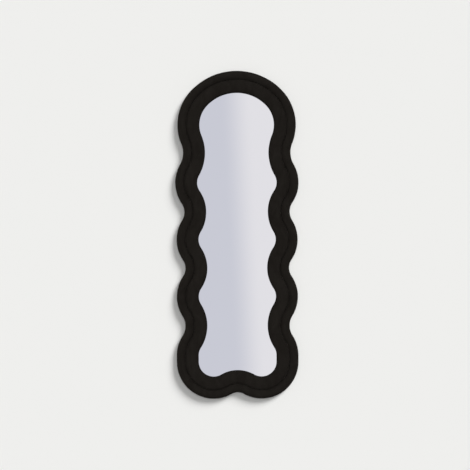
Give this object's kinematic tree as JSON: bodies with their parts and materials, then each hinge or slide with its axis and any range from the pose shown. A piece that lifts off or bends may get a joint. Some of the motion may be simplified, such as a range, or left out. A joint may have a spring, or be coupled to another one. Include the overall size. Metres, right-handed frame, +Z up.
{
  "type": "wavy framed wall mirror",
  "caption": "Full-length wall mirror with a symmetric wavy outline and a wide dark fabric frame padded in two tiers, hung on keyhole plates.",
  "frame": {"origin": "midway between the round entries of the two keyhole plates, on the wall plane", "axes": "+Z up, the glass faces -Y, the wall is on the +Y side, +X to the viewer's right"},
  "size_m": [0.602, 0.0413, 1.6],
  "materials": {
    "cover_fabric": "matte black pile fabric",
    "foam": "open-cell upholstery foam",
    "board": "plain sanded board",
    "mirror": "polished, silvered behind",
    "backing_film": "grey safety film",
    "panel": "smooth dark hardboard",
    "felt": "pressed felt",
    "zinc_steel": "bright zinc plate",
    "black_steel": "black phosphate"
  },
  "bodies": {
    "root": {"base_board": "board", "raised_board": "board", "mirror_glass": "mirror", "backing_film": "backing_film", "back_panel": "panel", "glass_pads": "foam", "outer_cover": "cover_fabric", "outer_foam": "foam", "raised_cover": "cover_fabric", "raised_foam": "foam", "ring_screws": "black_steel", "panel_screws": "zinc_steel", "left_hanger": "zinc_steel", "right_hanger": "zinc_steel", "hanger_screws": "zinc_steel", "wall_bumpers": "felt"}
  },
  "joints": []
}
